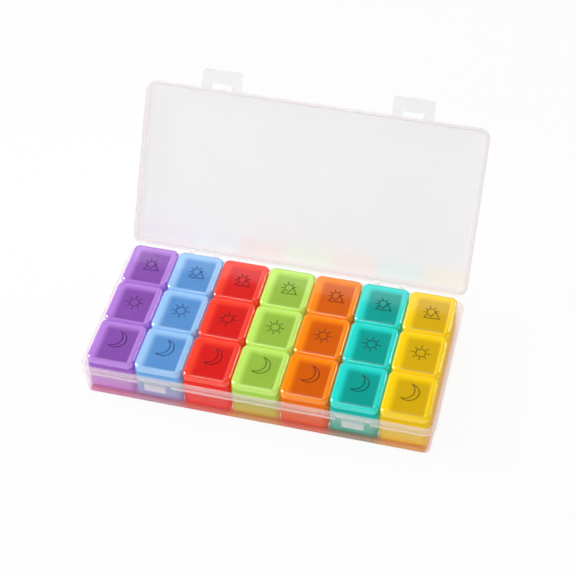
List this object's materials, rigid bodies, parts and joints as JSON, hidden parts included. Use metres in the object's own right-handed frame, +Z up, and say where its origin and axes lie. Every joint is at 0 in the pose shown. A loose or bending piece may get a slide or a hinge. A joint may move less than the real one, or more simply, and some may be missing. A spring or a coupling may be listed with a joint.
{
  "type": "weekly pill organizer",
  "caption": "Weekly pill organizer: clear hinged case with latch flaps, holding lift-out coloured day boxes whose cells have small hinged lids with sun and moon icons.",
  "frame": {"origin": "centre of the tray's flat underside", "axes": "+X along the row of day boxes, to the right as seen from the latches; +Y from the front latches to the rear hinge; +Z up"},
  "size_m": [0.21, 0.1657, 0.1225],
  "materials": {
    "clear_case": "frosted clear",
    "purple_plastic": "translucent, glossy",
    "blue_plastic": "translucent, glossy",
    "red_plastic": "translucent, glossy",
    "green_plastic": "translucent, glossy",
    "orange_plastic": "translucent, glossy",
    "teal_plastic": "translucent, glossy",
    "yellow_plastic": "translucent, glossy"
  },
  "bodies": {
    "tray": {"case_tray": "clear_case"},
    "case_lid": {"case_lid": "clear_case"},
    "latch_left": {"latch_left": "clear_case"},
    "latch_right": {"latch_right": "clear_case"},
    "box_purple": {"day_box_purple": "purple_plastic"},
    "lid_night_purple": {"lid_night_purple": "purple_plastic"},
    "lid_noon_purple": {"lid_noon_purple": "purple_plastic"},
    "lid_morning_purple": {"lid_morning_purple": "purple_plastic"},
    "box_blue": {"day_box_blue": "blue_plastic"},
    "lid_night_blue": {"lid_night_blue": "blue_plastic"},
    "lid_noon_blue": {"lid_noon_blue": "blue_plastic"},
    "lid_morning_blue": {"lid_morning_blue": "blue_plastic"},
    "box_red": {"day_box_red": "red_plastic"},
    "lid_night_red": {"lid_night_red": "red_plastic"},
    "lid_noon_red": {"lid_noon_red": "red_plastic"},
    "lid_morning_red": {"lid_morning_red": "red_plastic"},
    "box_green": {"day_box_green": "green_plastic"},
    "lid_night_green": {"lid_night_green": "green_plastic"},
    "lid_noon_green": {"lid_noon_green": "green_plastic"},
    "lid_morning_green": {"lid_morning_green": "green_plastic"},
    "box_orange": {"day_box_orange": "orange_plastic"},
    "lid_night_orange": {"lid_night_orange": "orange_plastic"},
    "lid_noon_orange": {"lid_noon_orange": "orange_plastic"},
    "lid_morning_orange": {"lid_morning_orange": "orange_plastic"},
    "box_teal": {"day_box_teal": "teal_plastic"},
    "lid_night_teal": {"lid_night_teal": "teal_plastic"},
    "lid_noon_teal": {"lid_noon_teal": "teal_plastic"},
    "lid_morning_teal": {"lid_morning_teal": "teal_plastic"},
    "box_yellow": {"day_box_yellow": "yellow_plastic"},
    "lid_night_yellow": {"lid_night_yellow": "yellow_plastic"},
    "lid_noon_yellow": {"lid_noon_yellow": "yellow_plastic"},
    "lid_morning_yellow": {"lid_morning_yellow": "yellow_plastic"}
  },
  "joints": [
    {"name": "case_lid_hinge", "type": "hinge", "parent": "tray", "child": "case_lid", "pos_m": [0, 0.0524, 0.0243], "axis": [-1, 0, 0], "range_deg": [-121.6, 0]},
    {"name": "latch_left_hinge", "type": "hinge", "parent": "case_lid", "child": "latch_left", "pos_m": [-0.0584, 0.10672, 0.11269], "axis": [-1, 0, 0], "range_deg": [-90, 0]},
    {"name": "latch_right_hinge", "type": "hinge", "parent": "case_lid", "child": "latch_right", "pos_m": [0.0584, 0.10672, 0.11269], "axis": [-1, 0, 0], "range_deg": [-90, 0]},
    {"name": "lid_night_purple_hinge", "type": "hinge", "parent": "box_purple", "child": "lid_night_purple", "pos_m": [-0.0747, -0.03183, 0.0277], "axis": [0, 1, 0], "range_deg": [0, 100]},
    {"name": "lid_noon_purple_hinge", "type": "hinge", "parent": "box_purple", "child": "lid_noon_purple", "pos_m": [-0.0747, 0, 0.0277], "axis": [0, 1, 0], "range_deg": [0, 100]},
    {"name": "lid_morning_purple_hinge", "type": "hinge", "parent": "box_purple", "child": "lid_morning_purple", "pos_m": [-0.0747, 0.03183, 0.0277], "axis": [0, 1, 0], "range_deg": [0, 100]},
    {"name": "lid_night_blue_hinge", "type": "hinge", "parent": "box_blue", "child": "lid_night_blue", "pos_m": [-0.0458, -0.03183, 0.0277], "axis": [0, 1, 0], "range_deg": [0, 100]},
    {"name": "lid_noon_blue_hinge", "type": "hinge", "parent": "box_blue", "child": "lid_noon_blue", "pos_m": [-0.0458, 0, 0.0277], "axis": [0, 1, 0], "range_deg": [0, 100]},
    {"name": "lid_morning_blue_hinge", "type": "hinge", "parent": "box_blue", "child": "lid_morning_blue", "pos_m": [-0.0458, 0.03183, 0.0277], "axis": [0, 1, 0], "range_deg": [0, 100]},
    {"name": "lid_night_red_hinge", "type": "hinge", "parent": "box_red", "child": "lid_night_red", "pos_m": [-0.0169, -0.03183, 0.0277], "axis": [0, 1, 0], "range_deg": [0, 100]},
    {"name": "lid_noon_red_hinge", "type": "hinge", "parent": "box_red", "child": "lid_noon_red", "pos_m": [-0.0169, 0, 0.0277], "axis": [0, 1, 0], "range_deg": [0, 100]},
    {"name": "lid_morning_red_hinge", "type": "hinge", "parent": "box_red", "child": "lid_morning_red", "pos_m": [-0.0169, 0.03183, 0.0277], "axis": [0, 1, 0], "range_deg": [0, 100]},
    {"name": "lid_night_green_hinge", "type": "hinge", "parent": "box_green", "child": "lid_night_green", "pos_m": [0.012, -0.03183, 0.0277], "axis": [0, 1, 0], "range_deg": [0, 100]},
    {"name": "lid_noon_green_hinge", "type": "hinge", "parent": "box_green", "child": "lid_noon_green", "pos_m": [0.012, 0, 0.0277], "axis": [0, 1, 0], "range_deg": [0, 100]},
    {"name": "lid_morning_green_hinge", "type": "hinge", "parent": "box_green", "child": "lid_morning_green", "pos_m": [0.012, 0.03183, 0.0277], "axis": [0, 1, 0], "range_deg": [0, 100]},
    {"name": "lid_night_orange_hinge", "type": "hinge", "parent": "box_orange", "child": "lid_night_orange", "pos_m": [0.0409, -0.03183, 0.0277], "axis": [0, 1, 0], "range_deg": [0, 100]},
    {"name": "lid_noon_orange_hinge", "type": "hinge", "parent": "box_orange", "child": "lid_noon_orange", "pos_m": [0.0409, 0, 0.0277], "axis": [0, 1, 0], "range_deg": [0, 100]},
    {"name": "lid_morning_orange_hinge", "type": "hinge", "parent": "box_orange", "child": "lid_morning_orange", "pos_m": [0.0409, 0.03183, 0.0277], "axis": [0, 1, 0], "range_deg": [0, 100]},
    {"name": "lid_night_teal_hinge", "type": "hinge", "parent": "box_teal", "child": "lid_night_teal", "pos_m": [0.0698, -0.03183, 0.0277], "axis": [0, 1, 0], "range_deg": [0, 100]},
    {"name": "lid_noon_teal_hinge", "type": "hinge", "parent": "box_teal", "child": "lid_noon_teal", "pos_m": [0.0698, 0, 0.0277], "axis": [0, 1, 0], "range_deg": [0, 100]},
    {"name": "lid_morning_teal_hinge", "type": "hinge", "parent": "box_teal", "child": "lid_morning_teal", "pos_m": [0.0698, 0.03183, 0.0277], "axis": [0, 1, 0], "range_deg": [0, 100]},
    {"name": "lid_night_yellow_hinge", "type": "hinge", "parent": "box_yellow", "child": "lid_night_yellow", "pos_m": [0.0987, -0.03183, 0.0277], "axis": [0, 1, 0], "range_deg": [0, 100]},
    {"name": "lid_noon_yellow_hinge", "type": "hinge", "parent": "box_yellow", "child": "lid_noon_yellow", "pos_m": [0.0987, 0, 0.0277], "axis": [0, 1, 0], "range_deg": [0, 100]},
    {"name": "lid_morning_yellow_hinge", "type": "hinge", "parent": "box_yellow", "child": "lid_morning_yellow", "pos_m": [0.0987, 0.03183, 0.0277], "axis": [0, 1, 0], "range_deg": [0, 100]},
    {"name": "box_purple_lift", "type": "slide", "parent": "tray", "child": "box_purple", "axis": [0, 0, 1], "range_m": [0, 0.04]},
    {"name": "box_blue_lift", "type": "slide", "parent": "tray", "child": "box_blue", "axis": [0, 0, 1], "range_m": [0, 0.04]},
    {"name": "box_red_lift", "type": "slide", "parent": "tray", "child": "box_red", "axis": [0, 0, 1], "range_m": [0, 0.04]},
    {"name": "box_green_lift", "type": "slide", "parent": "tray", "child": "box_green", "axis": [0, 0, 1], "range_m": [0, 0.04]},
    {"name": "box_orange_lift", "type": "slide", "parent": "tray", "child": "box_orange", "axis": [0, 0, 1], "range_m": [0, 0.04]},
    {"name": "box_teal_lift", "type": "slide", "parent": "tray", "child": "box_teal", "axis": [0, 0, 1], "range_m": [0, 0.04]},
    {"name": "box_yellow_lift", "type": "slide", "parent": "tray", "child": "box_yellow", "axis": [0, 0, 1], "range_m": [0, 0.04]}
  ]
}
